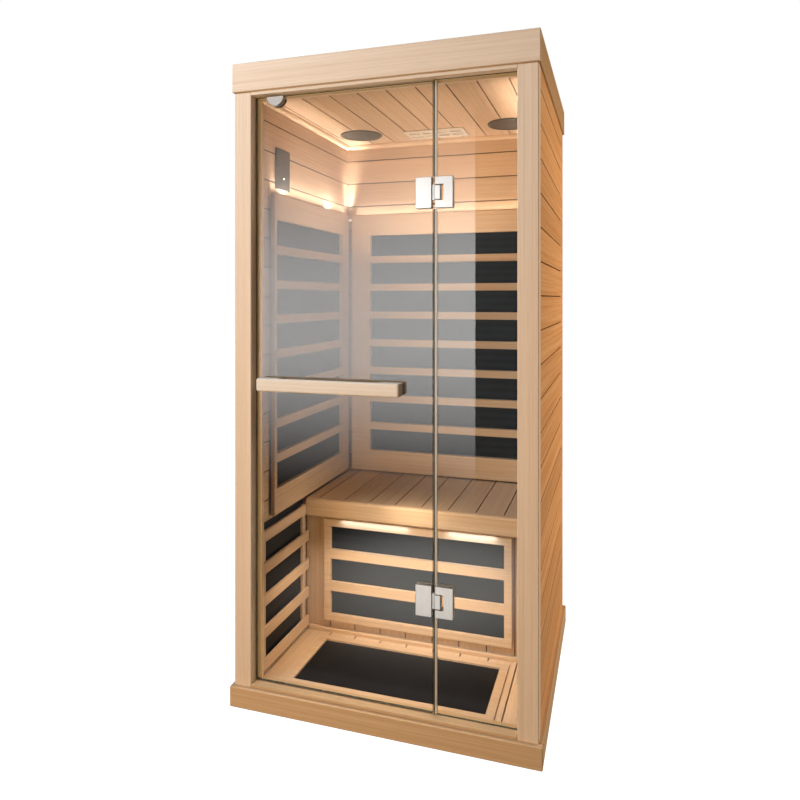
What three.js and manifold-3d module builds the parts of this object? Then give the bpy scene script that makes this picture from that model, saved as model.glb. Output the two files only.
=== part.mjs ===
// Infrared sauna cabin for one person: boarded wooden walls, a glass front with a hinged door,
// a bench, and dark heating panels behind wooden guards.
// Millimetres, +X to the right, +Y to the back, +Z up. The origin is on the ground, under the
// middle of the plinth, and the glass front faces -Y.
import * as THREE from 'three';
import { mergeVertices } from 'three/addons/utils/BufferGeometryUtils.js';
import Module from 'manifold-3d';

const wasm = await Module();
wasm.setup();

// Cabin
const cabinWidth = 912; // across the side walls
const cabinDepth = 840; // front stiles to back cladding
const cabinHeight = 1950; // ground to the top of the cornice
const fit = 0.3; // gap between pieces that seat on or in each other
const past = 1; // how far a cut, or a piece that is joined on, runs past the face it meets
const woodEase = 2; // broken edge on sawn timber
const roundSides = 24; // facets of a round piece

// Plinth, floor and cornice
const plinthHeight = 62;
const plinthOverhang = 11;
const plinthThickness = 20;
const corniceHeight = 87;
const corniceOverhang = 6;
const corniceThickness = 12;
const roofCoverInset = 8;
const roofCoverThickness = 6;
const roofSlotCount = 6;
const roofSlotLength = 160;
const roofSlotWidth = 8;
const roofSlotPitch = 22;

// Boarded walls and ceiling
const claddingThickness = 10;
const wallPanelThickness = 34;
const boardPitch = 93;
const grooveWidth = 4;
const grooveDepth = 6;
const wallFirstBoard = 67; // lowest, trimmed board
const ceilingFirstBoard = 61;
const floorFirstBoard = 50;
const rearPostWidth = 100; // upright board that closes each side wall at the back
const ceilingDrop = 82; // cornice top to ceiling
const ceilingThickness = 18;

// Glass front
const stileWidth = 56;
const frameDepth = 52;
const stopDepth = 14; // rebate that the door closes against
const stopLap = 16; // how far the rebate reaches behind the door
const paneStopLap = 5; // how far it reaches behind the fixed pane
const railFace = 11; // top rail showing below the cornice
const railStopLap = 8;
const sillHeight = 11;
const glassRecess = 26;
const glassThickness = 8;
const fixedGlassWidth = 238;
const glassGap = 4; // between the door and the fixed pane
const doorSideGap = 3;
const doorEndGap = 3;

// Hinges
const hingeFromEnd = 314; // hinge middle from the top and the bottom of the door
const leafHeight = 88;
const leafThickness = 6;
const doorLeafWidth = 47;
const panelLeafWidth = 52;
const pinOffset = 13; // pin axis from the middle of the gap between the panes
const pinRadius = 3;
const doorLeafReach = 16.5; // pin axis to the door leaf
const panelLeafReach = 7;
const knuckleWidth = 20.6;
const knuckleEase = 2.5;
const knuckleHeight = 43;
const knuckleGap = 1;
const notchReach = 18; // pin axis to the web of the pane's leaf
const bridgeWidth = 10;
const doorCoreDepth = 20;
const panelCoreDepth = 21;
const earHeight = 8;
const earReach = 6;

// Door handle
const handleHeight = 979; // middle of the handle above the ground
const handleBarHeight = 39;
const handleOuterDepth = 35;
const handleInnerDepth = 41;
const handleFoot = 60;
const handleScoop = 16; // finger room between bar and glass
const handleScoopSlope = 10;
const handleCorner = 7;
const handleEase = 5;
const handleLeftMargin = 18;
const handleRightMargin = 89;
const boltRadius = 4;
const boltHeadRadius = 7;
const boltHeadDepth = 5;
const boltSkin = 12; // wood left in front of the bolt
const boltHoleRadius = 6; // hole in the glass

// Door catch
const catchRadius = 27;
const catchFromEdge = 66; // middle of the catch from the free edge of the door
const catchFrontThickness = 4;
const catchRearThickness = 2.7;
const catchPinRadius = 5.5;
const catchPinDrop = 14;
const catchTopGap = 1;
const magnetDepth = 12;

// Bench
const benchHeight = 534; // seat above the ground
const benchDepth = 436;
const seatThickness = 22;
const noseThickness = 22;
const noseHeight = 63;
const noseRound = 9;
const skirtingSetback = 37; // skirting behind the front of the nose
const skirtingThickness = 18;
const benchFirstBoard = 44;
const skirtingFirstBoard = 5;

// Heating panels and their guards
const panelThickness = 6;
const panelMargin = 12; // heating panel inside the outline of its guard
const sideGuardThickness = 15;
const backPanelThickness = 8;
const backGuardThickness = 23;
const guardTopDrop = 291; // ceiling to the top of the wall guards
const guardBenchGap = 6;
const guardRail = 84;
const guardSlat = 28;
const guardWindows = 8;
const ledRoom = 10; // heating panel below the light strip
const backGuardStile = 81;
const backGuardSideGap = 10;
const sideGuardFrontGap = 80;
const sideGuardFrontStile = 16;
const sideGuardRearStile = 68;
const sideGuardRearGap = 3;
const calfGuardTopGap = 22; // seat to the top slat
const calfGuardFloorGap = 16;
const calfSlat = 34;
const calfSlatThickness = 8;
const calfWindows = 4;
const calfFrontGap = 6;
const calfRearGap = 12;
const calfBatten = 18;
const calfBattenInset = 20;
const calfPanelRise = 16; // heating panel showing above the top slat
const benchGuardThickness = 13;
const benchGuardTopGap = 7;
const benchGuardFloorGap = 43;
const benchGuardRail = 26;
const benchGuardSlat = 32;
const benchGuardWindows = 3;
const benchGuardSideGap = 60; // from the side guards
const floorFrameWidth = 27;
const floorFrameProud = 4;
const floorPocket = 14;
const floorPanelDrop = 2;
const floorFrameFrontGap = 1;
const floorFrameRearGap = 38;
const floorFrameSideGap = 65; // from the side guards

// Lights, speakers, vent and controls
const ledWidth = 5.4;
const ledHeight = 6;
const ledGap = 3;
const benchLedWidth = 8;
const benchLedMargin = 60;
const speakerRadius = 80;
const speakerRim = 5;
const speakerRimWidth = 9;
const speakerDish = 2.5;
const speakerCanRadius = 68;
const speakerCanHeight = 24;
const speakerFromSide = 126;
const speakerFromBack = 166;
const ventWidth = 230;
const ventDepth = 122;
const ventThickness = 5;
const ventFromBack = 52;
const ventBorder = 16;
const ventSlotRows = 2;
const ventSlotColumns = 4;
const ventSlotWidth = 15;
const ventSlotSpace = 12;
const controlWidth = 88;
const controlHeight = 134;
const controlThickness = 8;
const controlCorner = 7;
const controlTopDrop = 136; // ceiling to the top of the control panel
const controlFromFrame = 122;
const buttonRadius = 6;
const buttonTravel = 1.2;
const buttonProud = 1;
const buttonFromBottom = 37;
const powerUnitWidth = 300;
const powerUnitDepth = 190;
const powerUnitFromFront = 150;
const powerUnitHeadroom = 8;
const inletWidth = 28;
const inletHeight = 20;
const inletDepth = 16;

// Reference planes that the pieces share
const front = -cabinDepth / 2;
const back = cabinDepth / 2;
const side = cabinWidth / 2;
const panelSide = side - claddingThickness;
const liningSide = panelSide - wallPanelThickness;
const panelBack = back - claddingThickness;
const liningBack = panelBack - wallPanelThickness;
const frameBack = front + frameDepth;
const floorTop = plinthHeight;
const ceilingUnder = cabinHeight - ceilingDrop;
const ceilingTop = ceilingUnder + ceilingThickness;
const corniceUnder = cabinHeight - corniceHeight;
const stileInner = side - stileWidth;
const stopFront = frameBack - stopDepth;
const sillTop = floorTop + sillHeight;
const railUnder = corniceUnder - railFace;
const stopUnder = railUnder - railStopLap;
const glassFront = front + glassRecess;
const glassBack = glassFront + glassThickness;
const glassMiddle = (glassFront + glassBack) / 2;
const splitX = stileInner - fixedGlassWidth;
const doorLeft = -stileInner + doorSideGap;
const doorRight = splitX - glassGap / 2;
const doorBottom = sillTop + doorEndGap;
const doorTop = railUnder - doorEndGap;
const pinX = splitX + pinOffset;
const guardSide = liningSide - panelThickness - sideGuardThickness;
const backGuardFront = liningBack - backPanelThickness - backGuardThickness;
const guardTop = ceilingUnder - guardTopDrop;
const guardBottom = benchHeight + guardBenchGap;
const benchFront = liningBack - benchDepth;
const benchSide = guardSide - fit;
const seatUnder = benchHeight - seatThickness;
const noseUnder = benchHeight - noseHeight;
const skirtingFront = benchFront + skirtingSetback;
const benchGuardFront = skirtingFront - panelThickness - benchGuardThickness;
const handleLeft = doorLeft + handleLeftMargin;
const handleRight = doorRight - handleRightMargin;

const unit = {
  x: new THREE.Vector3(1, 0, 0),
  y: new THREE.Vector3(0, 1, 0),
  z: new THREE.Vector3(0, 0, 1),
};

// A closed three.js geometry as a solid that can be joined and cut.
function toSolid(geometry) {
  const bare = geometry.clone();
  for (const name of Object.keys(bare.attributes)) {
    if (name !== 'position') bare.deleteAttribute(name);
  }
  const merged = mergeVertices(bare, 1e-4);
  const index = merged.index.array;
  const triangles = [];
  for (let i = 0; i < index.length; i += 3) {
    const [a, b, c] = [index[i], index[i + 1], index[i + 2]];
    if (a !== b && b !== c && c !== a) triangles.push(a, b, c);
  }
  return new wasm.Manifold(new wasm.Mesh({
    numProp: 3,
    vertProperties: new Float32Array(merged.attributes.position.array),
    triVerts: new Uint32Array(triangles),
  }));
}

function toGeometry(solid) {
  const mesh = solid.getMesh();
  const geometry = new THREE.BufferGeometry();
  geometry.setAttribute('position', new THREE.BufferAttribute(new Float32Array(mesh.vertProperties), 3));
  geometry.setIndex(new THREE.BufferAttribute(new Uint32Array(mesh.triVerts), 1));
  return geometry;
}

function join(...solids) {
  return solids.reduce((whole, next) => whole.add(next));
}

function cut(solid, ...tools) {
  return tools.reduce((left, tool) => left.subtract(tool), solid);
}

// Sharp block between two corners, given in any order.
function block([xa, xb], [ya, yb], [za, zb]) {
  const geometry = new THREE.BoxGeometry(Math.abs(xb - xa), Math.abs(yb - ya), Math.abs(zb - za));
  geometry.translate((xa + xb) / 2, (ya + yb) / 2, (za + zb) / 2);
  return toSolid(geometry);
}

// Outline in the plane across axis w, swept along w. The planes run yz, zx and xy.
function prism(w, outline, [from, to]) {
  const [u, v] = { x: ['y', 'z'], y: ['z', 'x'], z: ['x', 'y'] }[w];
  const shape = Array.isArray(outline)
    ? new THREE.Shape(outline.map(([a, b]) => new THREE.Vector2(a, b)))
    : outline;
  const geometry = new THREE.ExtrudeGeometry(shape, {
    depth: to - from,
    bevelEnabled: false,
    curveSegments: roundSides / 4,
  });
  geometry.translate(0, 0, from);
  geometry.applyMatrix4(new THREE.Matrix4().makeBasis(unit[u], unit[v], unit[w]));
  return toSolid(geometry);
}

// Block with all its edges broken.
function timber([xa, xb], [ya, yb], [za, zb], ease = woodEase) {
  const [x0, x1] = [Math.min(xa, xb), Math.max(xa, xb)];
  const [y0, y1] = [Math.min(ya, yb), Math.max(ya, yb)];
  const shape = new THREE.Shape([
    [x0 + ease, y0], [x1 - ease, y0], [x1, y0 + ease], [x1, y1 - ease],
    [x1 - ease, y1], [x0 + ease, y1], [x0, y1 - ease], [x0, y0 + ease],
  ].map(([x, y]) => new THREE.Vector2(x, y)));
  const geometry = new THREE.ExtrudeGeometry(shape, {
    depth: Math.abs(zb - za) - 2 * ease,
    bevelThickness: ease,
    bevelSize: ease,
    bevelOffset: -ease,
    bevelSegments: 1,
  });
  geometry.translate(0, 0, Math.min(za, zb) + ease);
  return toSolid(geometry);
}

// Round bar along an axis; centre gives the other two coordinates in the order yz, zx or xy.
function rod(w, [from, to], radius, centre) {
  const outline = new THREE.Shape();
  outline.absarc(centre[0], centre[1], radius, 0, 2 * Math.PI);
  const points = outline.getPoints(roundSides / 2).slice(0, -1);
  return prism(w, points.map((p) => [p.x, p.y]), [from, to]);
}

// Board joints from the first board on, clear of both edges.
function joints(low, high, firstBoard, pitch = boardPitch) {
  const places = [];
  for (let s = low + firstBoard; s < high - grooveWidth; s += pitch) {
    if (s > low + grooveWidth) places.push(s);
  }
  return places;
}

// Outline of a boarded panel with a V joint at each place: t runs from its back to its face.
function boardedOutline(backAt, faceAt, low, high, places) {
  const inward = Math.sign(backAt - faceAt) * grooveDepth;
  const outline = [[backAt, low], [backAt, high], [faceAt, high]];
  for (const s of [...places].reverse()) {
    outline.push([faceAt, s + grooveWidth / 2], [faceAt + inward, s], [faceAt, s - grooveWidth / 2]);
  }
  outline.push([faceAt, low]);
  return outline;
}

const swapped = (outline) => outline.map(([t, s]) => [s, t]);

// Wooden lattice: a block with windows cut through it.
function lattice(body, windows) {
  return cut(body, ...windows);
}

// Low and high edges of equal windows between two rails.
function windowRows(low, high, rail, slat, count) {
  const height = (high - low - 2 * rail - (count - 1) * slat) / count;
  return Array.from({ length: count }, (_, i) => {
    const start = low + rail + i * (height + slat);
    return [start, start + height];
  });
}

const wood = { color: 0xd9b48a, roughness: 0.55, metalness: 0 };
const paleWood = { color: 0xe6c9a2, roughness: 0.5, metalness: 0 };
const heater = { color: 0x26292b, roughness: 0.35, metalness: 0 };
const glass = { color: 0xdfeae6, roughness: 0.05, metalness: 0, transparent: true, opacity: 0.25 };
const satinSteel = { color: 0xc9c7c3, roughness: 0.3, metalness: 1 };
const darkMetal = { color: 0x5c564d, roughness: 0.4, metalness: 0.8 };
const darkPlastic = { color: 0x2e2c2a, roughness: 0.5, metalness: 0 };
const lightStrip = { color: 0xfff1d8, emissive: 0xffd9a0, roughness: 0.6, metalness: 0 };

const cabin = new THREE.Group();

function add(name, solid, look) {
  const mesh = new THREE.Mesh(toGeometry(solid), new THREE.MeshStandardMaterial(look));
  mesh.name = name;
  cabin.add(mesh);
}

const hands = [['left', -1], ['right', 1]];

function buildPlinth() {
  const outer = side + plinthOverhang;
  const inner = outer - plinthThickness;
  const [y0, y1] = [front - plinthOverhang, back + plinthOverhang];
  const z = [0, plinthHeight];
  for (const [hand, sign] of hands) {
    const sideY = [y0 + plinthThickness, y1 - plinthThickness];
    add(`plinth_${hand}`, timber([sign * inner, sign * outer], sideY, z), wood);
  }
  add('plinth_front', timber([-outer, outer], [y0, y0 + plinthThickness], z), wood);
  add('plinth_back', timber([-outer, outer], [y1 - plinthThickness, y1], z), wood);
}

function buildFloor() {
  const x = side + plinthOverhang - plinthThickness;
  const y = [front - plinthOverhang + plinthThickness, back + plinthOverhang - plinthThickness];
  const places = joints(-x, x, floorFirstBoard);
  const deck = prism('y', boardedOutline(0, floorTop, -x, x, places), y);
  const frameX = guardSide - floorFrameSideGap;
  const frameY = [frameBack + floorFrameFrontGap, skirtingFront - floorFrameRearGap];
  const pocketFloor = floorTop - floorPocket;
  const pocket = block([-frameX - fit, frameX + fit], [frameY[0] - fit, frameY[1] + fit],
    [pocketFloor, floorTop + past]);
  add('floor_panel', cut(deck, pocket), wood);
  const panelX = frameX - floorFrameWidth;
  const panelY = [frameY[0] + floorFrameWidth, frameY[1] - floorFrameWidth];
  const frameTop = floorTop + floorFrameProud;
  const frame = timber([-frameX, frameX], frameY, [pocketFloor, frameTop], woodEase / 2);
  const opening = block([-panelX - fit, panelX + fit], [panelY[0] - fit, panelY[1] + fit],
    [pocketFloor - past, frameTop + past]);
  add('floor_heater_frame', cut(frame, opening), wood);
  const panelZ = [pocketFloor, floorTop - floorPanelDrop];
  add('floor_heater_panel', block([-panelX, panelX], panelY, panelZ), heater);
}

function buildFrontFrame() {
  const laps = { left: stopLap, right: paneStopLap };
  for (const [hand, sign] of hands) {
    const post = timber([sign * stileInner, sign * side], [front, frameBack], [floorTop, corniceUnder]);
    const beadX = [sign * (stileInner - laps[hand]), sign * (stileInner + laps[hand])];
    const bead = block(beadX, [stopFront, frameBack - woodEase],
      [sillTop + fit, stopUnder - fit]);
    add(`front_stile_${hand}`, join(post, bead), wood);
  }
  const x = stileInner - fit;
  const rail = block([-x, x], [front, frameBack], [railUnder, corniceUnder]);
  const railStop = block([-x, x], [stopFront, frameBack], [stopUnder, ceilingTop]);
  add('front_top_rail', join(rail, railStop), wood);
  add('front_sill', timber([-x, x], [front, frameBack], [floorTop, sillTop]), wood);
}

function buildWalls() {
  const places = joints(floorTop, ceilingUnder, wallFirstBoard);
  const claddingPlaces = joints(floorTop, corniceUnder, wallFirstBoard);
  for (const [hand, sign] of hands) {
    const panel = boardedOutline(sign * panelSide, sign * liningSide, floorTop, ceilingUnder, places);
    add(`${hand}_wall_panel`, prism('y', swapped(panel), [frameBack, liningBack]), wood);
    const cladding = boardedOutline(sign * panelSide, sign * side, floorTop, corniceUnder, claddingPlaces);
    const boards = prism('y', swapped(cladding), [frameBack, back - rearPostWidth + past]);
    const post = block([sign * panelSide, sign * side], [back - rearPostWidth, back],
      [floorTop, corniceUnder]);
    add(`${hand}_wall_cladding`, join(boards, post), wood);
  }
  const backPanel = boardedOutline(panelBack, liningBack, floorTop, ceilingUnder, places);
  add('back_wall_panel', prism('x', backPanel, [-panelSide, panelSide]), wood);
  const backCladding = boardedOutline(panelBack, back, floorTop, corniceUnder, claddingPlaces);
  add('back_wall_cladding', prism('x', backCladding, [-panelSide, panelSide]), wood);
}

const speakerX = liningSide - speakerFromSide;
const speakerY = liningBack - speakerFromBack;
const speakerPlaces = hands.map(([hand, sign]) => [hand, sign * speakerX, speakerY]);
const ventY = [liningBack - ventFromBack - ventDepth, liningBack - ventFromBack];

function buildCeiling() {
  const outline = boardedOutline(ceilingTop, ceilingUnder, -panelSide, panelSide,
    joints(-panelSide, panelSide, ceilingFirstBoard));
  const boards = prism('y', outline, [frameBack, panelBack]);
  const through = [ceilingUnder - past, ceilingTop + past];
  const holes = speakerPlaces.map(([, x, y]) => rod('z', through, speakerCanRadius + fit, [x, y]));
  const ventX = ventWidth / 2 - ventBorder;
  const ventHole = block([-ventX, ventX], [ventY[0] + ventBorder, ventY[1] - ventBorder], through);
  add('ceiling_panel', cut(boards, ...holes, ventHole), wood);
}

function buildSpeakers() {
  const rimTop = ceilingUnder - fit;
  const rimUnder = rimTop - speakerRim;
  const inner = speakerRadius - speakerRimWidth;
  const profile = [
    [0, rimUnder + speakerDish],
    [inner - speakerDish, rimUnder + speakerDish],
    [inner, rimUnder],
    [speakerRadius - woodEase, rimUnder],
    [speakerRadius, rimUnder + woodEase],
    [speakerRadius, rimTop],
    [speakerCanRadius, rimTop],
    [speakerCanRadius, ceilingTop + speakerCanHeight],
    [0, ceilingTop + speakerCanHeight],
  ].map(([r, z]) => new THREE.Vector2(r, z));
  for (const [hand, x, y] of speakerPlaces) {
    const geometry = new THREE.LatheGeometry(profile, roundSides);
    geometry.rotateX(Math.PI / 2);
    geometry.translate(x, y, 0);
    add(`${hand}_speaker`, toSolid(geometry), darkPlastic);
  }
}

function buildVent() {
  const z = [ceilingUnder - fit - ventThickness, ceilingUnder - fit];
  const plate = timber([-ventWidth / 2, ventWidth / 2], ventY, z, woodEase);
  const columnPitch = (ventWidth - 2 * ventBorder + ventSlotSpace) / ventSlotColumns;
  const rowPitch = (ventDepth - 2 * ventBorder) / ventSlotRows;
  const slots = [];
  for (let row = 0; row < ventSlotRows; row += 1) {
    for (let column = 0; column < ventSlotColumns; column += 1) {
      const x = -ventWidth / 2 + ventBorder + column * columnPitch;
      const y = ventY[0] + ventBorder + (row + 0.5) * rowPitch;
      slots.push(block([x, x + columnPitch - ventSlotSpace], [y - ventSlotWidth / 2, y + ventSlotWidth / 2],
        [z[0] - past, z[1] + past]));
    }
  }
  add('ceiling_vent', cut(plate, ...slots), paleWood);
}

function buildCornice() {
  const outer = side + corniceOverhang;
  const inner = outer - corniceThickness;
  const [y0, y1] = [front - corniceOverhang, back + corniceOverhang];
  const z = [corniceUnder, cabinHeight];
  for (const [hand, sign] of hands) {
    const sideY = [y0 + corniceThickness, y1 - corniceThickness];
    add(`cornice_${hand}`, timber([sign * inner, sign * outer], sideY, z), wood);
  }
  add('cornice_front', timber([-outer, outer], [y0, y0 + corniceThickness], z), wood);
  add('cornice_back', timber([-outer, outer], [y1 - corniceThickness, y1], z), wood);
  const coverTop = cabinHeight - roofCoverInset;
  const coverX = inner - fit;
  const coverY = [y0 + corniceThickness + fit, y1 - corniceThickness - fit];
  const cover = block([-coverX, coverX], coverY, [coverTop - roofCoverThickness, coverTop]);
  const slots = Array.from({ length: roofSlotCount }, (_, i) => {
    const y = (i - (roofSlotCount - 1) / 2) * roofSlotPitch;
    return block([-roofSlotLength / 2, roofSlotLength / 2], [y - roofSlotWidth / 2, y + roofSlotWidth / 2],
      [coverTop - roofCoverThickness - past, coverTop + past]);
  });
  add('roof_cover', cut(cover, ...slots), wood);
}

function buildPowerUnit() {
  const top = cabinHeight - roofCoverInset - roofCoverThickness - powerUnitHeadroom;
  const y = [front + powerUnitFromFront, front + powerUnitFromFront + powerUnitDepth];
  const body = timber([-powerUnitWidth / 2, powerUnitWidth / 2], y, [ceilingTop, top]);
  const middle = (ceilingTop + top) / 2;
  const inlet = block([-inletWidth / 2, inletWidth / 2], [y[1] - inletDepth, y[1] + past],
    [middle - inletHeight / 2, middle + inletHeight / 2]);
  add('power_unit', cut(body, inlet), darkMetal);
}

function buildBench() {
  const noseBack = benchFront + noseThickness;
  const seat = boardedOutline(seatUnder, benchHeight, -benchSide, benchSide,
    joints(-benchSide, benchSide, benchFirstBoard));
  add('bench_seat', prism('y', seat, [noseBack, liningBack - fit]), wood);
  const nose = new THREE.Shape();
  nose.moveTo(noseBack, noseUnder);
  nose.lineTo(noseBack, benchHeight);
  nose.lineTo(benchFront + noseRound, benchHeight);
  nose.absarc(benchFront + noseRound, benchHeight - noseRound, noseRound, Math.PI / 2, Math.PI);
  nose.absarc(benchFront + noseRound, noseUnder + noseRound, noseRound, Math.PI, 1.5 * Math.PI);
  add('bench_nose', prism('x', nose, [-benchSide, benchSide]), wood);
  const skirtX = liningSide - fit;
  const skirting = boardedOutline(skirtingFront + skirtingThickness, skirtingFront, -skirtX, skirtX,
    joints(-skirtX, skirtX, skirtingFirstBoard));
  add('bench_skirting', prism('z', swapped(skirting), [floorTop, seatUnder]), wood);
  const ledX = benchSide - benchLedMargin;
  add('bench_led_strip', block([-ledX, ledX], [noseBack + fit, noseBack + fit + benchLedWidth],
    [seatUnder - fit - ledHeight, seatUnder - fit]), lightStrip);
}

function buildWallHeaters() {
  const rows = windowRows(guardBottom, guardTop, guardRail, guardSlat, guardWindows);
  const z = [guardBottom, guardTop];
  const panelZ = [guardBottom + panelMargin, guardTop - panelMargin - ledRoom];
  const guardY = [frameBack + sideGuardFrontGap, backGuardFront - sideGuardRearGap];
  const windowY = [guardY[0] + sideGuardFrontStile, guardY[1] - sideGuardRearStile];
  const panelFace = liningSide - panelThickness;
  for (const [hand, sign] of hands) {
    const body = timber([sign * guardSide, sign * panelFace], guardY, z);
    const windowX = [sign * (guardSide - past), sign * (panelFace + past)];
    const windows = rows.map((row) => block(windowX, windowY, row));
    add(`${hand}_heater_guard`, lattice(body, windows), wood);
    add(`${hand}_heater_panel`, block([sign * panelFace, sign * liningSide],
      [guardY[0] + panelMargin, guardY[1] - panelMargin], panelZ), heater);
  }
  const x = guardSide - backGuardSideGap;
  const backFace = liningBack - backPanelThickness;
  const windowX = x - backGuardStile;
  const backBody = timber([-x, x], [backGuardFront, backFace], z);
  const backWindowY = [backGuardFront - past, backFace + past];
  const backWindows = rows.map((row) => block([-windowX, windowX], backWindowY, row));
  add('back_heater_guard', lattice(backBody, backWindows), wood);
  const backPanelX = [-x + panelMargin, x - panelMargin];
  add('back_heater_panel', block(backPanelX, [backFace, liningBack], panelZ), heater);

  // One strip of light runs round the three walls, on top of the panels and behind the guards.
  const ledZ = [panelZ[1] + ledGap, panelZ[1] + ledGap + ledHeight];
  const ledX = liningSide - fit;
  const ledBack = liningBack - fit;
  const legs = hands.map(([, sign]) => block([sign * (ledX - ledWidth), sign * ledX],
    [guardY[0] + panelMargin, ledBack], ledZ));
  const run = block([-ledX, ledX], [ledBack - ledWidth, ledBack], ledZ);
  add('wall_led_strip', join(run, ...legs), lightStrip);
}

function buildCalfHeaters() {
  const z = [floorTop + calfGuardFloorGap, benchHeight - calfGuardTopGap];
  const y = [frameBack + calfFrontGap, skirtingFront - calfRearGap];
  const panelFace = liningSide - panelThickness;
  const slatBack = guardSide + calfSlatThickness;
  const rows = windowRows(z[0], z[1], calfSlat, calfSlat, calfWindows);
  const slatRows = [...rows.map(([start]) => [start - calfSlat, start]), [rows.at(-1)[1], z[1]]];
  const battens = [
    [y[0] + calfBattenInset / 2, y[0] + calfBattenInset / 2 + calfBatten],
    [y[1] - calfBattenInset - calfBatten, y[1] - calfBattenInset],
  ];
  for (const [hand, sign] of hands) {
    const uprights = battens.map((span) => block([sign * (slatBack - past), sign * panelFace], span, z));
    const slats = slatRows.map((row) => block([sign * guardSide, sign * slatBack], y, row));
    add(`${hand}_calf_guard`, join(...uprights, ...slats), wood);
    add(`${hand}_calf_panel`, block([sign * panelFace, sign * liningSide],
      [y[0] + calfBattenInset / 2, y[1] - calfBattenInset], [z[0], z[1] + calfPanelRise]), heater);
  }
}

function buildBenchHeater() {
  const x = guardSide - benchGuardSideGap;
  const z = [floorTop + benchGuardFloorGap, noseUnder - benchGuardTopGap];
  const y = [benchGuardFront, skirtingFront - panelThickness];
  const windowX = x - benchGuardRail;
  const rows = windowRows(z[0], z[1], benchGuardRail, benchGuardSlat, benchGuardWindows);
  const windows = rows.map((row) => block([-windowX, windowX], [y[0] - past, y[1] + past], row));
  add('bench_heater_guard', lattice(timber([-x, x], y, z), windows), wood);
  add('bench_heater_panel', block([-x + panelMargin, x - panelMargin], [y[1], skirtingFront],
    [z[0] + panelMargin, z[1] - panelMargin]), heater);
}

const hingeHeights = [['upper', doorTop - hingeFromEnd], ['lower', doorBottom + hingeFromEnd]];
const knuckleHalf = knuckleHeight / 2;
const earTop = knuckleHalf + knuckleGap + earHeight;
const doorLeafEdge = pinX - doorLeafReach;
const panelLeafEdge = pinX - panelLeafReach;
const panelWeb = pinX + notchReach;
const handleBolts = [handleLeft + handleFoot / 2, handleRight - handleFoot / 2];
const catchX = doorLeft + catchFromEdge;
const catchZ = doorTop - catchTopGap;

function buildGlass() {
  const y = [glassFront, glassBack];
  const throughGlass = [glassFront - past, glassBack + past];
  const doorNotches = hingeHeights.map(([, z]) => block(
    [doorLeafEdge - doorCoreDepth - fit, doorRight + past], throughGlass,
    [z - knuckleHalf - fit, z + knuckleHalf + fit]));
  const boltHoles = handleBolts.map((x) => rod('y', throughGlass, boltHoleRadius, [handleHeight, x]));
  const catchHole = rod('y', throughGlass, catchPinRadius + fit, [catchZ - catchPinDrop, catchX]);
  const door = block([doorLeft, doorRight], y, [doorBottom, doorTop]);
  add('door_glass', cut(door, ...doorNotches, ...boltHoles, catchHole), glass);
  const fixedLeft = splitX + glassGap / 2;
  const fixed = block([fixedLeft, stileInner - fit], y, [sillTop + fit, railUnder - fit]);
  const fixedNotches = hingeHeights.map(([, z]) => block(
    [fixedLeft - past, panelWeb + panelCoreDepth + fit], throughGlass,
    [z - earTop - fit, z + earTop + fit]));
  add('fixed_glass', cut(fixed, ...fixedNotches), glass);
}

function buildHinges() {
  const frontPlate = [glassFront - fit - leafThickness, glassFront - fit];
  const rearPlate = [glassBack + fit, glassBack + fit + leafThickness];
  const through = [frontPlate[0], rearPlate[1]];
  const centre = [pinX, glassMiddle];
  for (const [place, z] of hingeHeights) {
    const leafZ = [z - leafHeight / 2, z + leafHeight / 2];
    const knuckleZ = [z - knuckleHalf, z + knuckleHalf];
    const doorX = [doorLeafEdge - doorLeafWidth, doorLeafEdge];
    const doorLeaf = join(
      timber(doorX, frontPlate, leafZ, woodEase / 2),
      timber(doorX, rearPlate, leafZ, woodEase / 2),
      block([doorLeafEdge - doorCoreDepth, doorLeafEdge - woodEase],
        [frontPlate[1] - past, rearPlate[0] + past], knuckleZ),
      block([doorLeafEdge - doorCoreDepth, pinX],
        [glassMiddle - bridgeWidth / 2, glassMiddle + bridgeWidth / 2], knuckleZ),
      timber([pinX - knuckleWidth / 2, pinX + knuckleWidth / 2],
        [glassMiddle - knuckleWidth / 2, glassMiddle + knuckleWidth / 2], knuckleZ, knuckleEase),
    );
    const pinHole = rod('z', [z - earTop - past, z + earTop + past], pinRadius + fit, centre);
    add(`${place}_hinge_door_leaf`, cut(doorLeaf, pinHole), satinSteel);
    const panelX = [panelLeafEdge, panelLeafEdge + panelLeafWidth];
    const core = block([pinX - earReach, panelWeb + panelCoreDepth],
      [frontPlate[1] - past, rearPlate[0] + past],
      [z - earTop, z + earTop]);
    const notch = block([pinX - notchReach, panelWeb], [through[0] - past, through[1] + past],
      [z - knuckleHalf - knuckleGap, z + knuckleHalf + knuckleGap]);
    const panelLeaf = join(
      timber(panelX, frontPlate, leafZ, woodEase / 2),
      timber(panelX, rearPlate, leafZ, woodEase / 2),
      core,
    );
    add(`${place}_hinge_panel_leaf`, cut(panelLeaf, notch, pinHole), satinSteel);
    add(`${place}_hinge_pin`, rod('z', [z - earTop, z + earTop], pinRadius, centre), satinSteel);
  }
}

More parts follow.
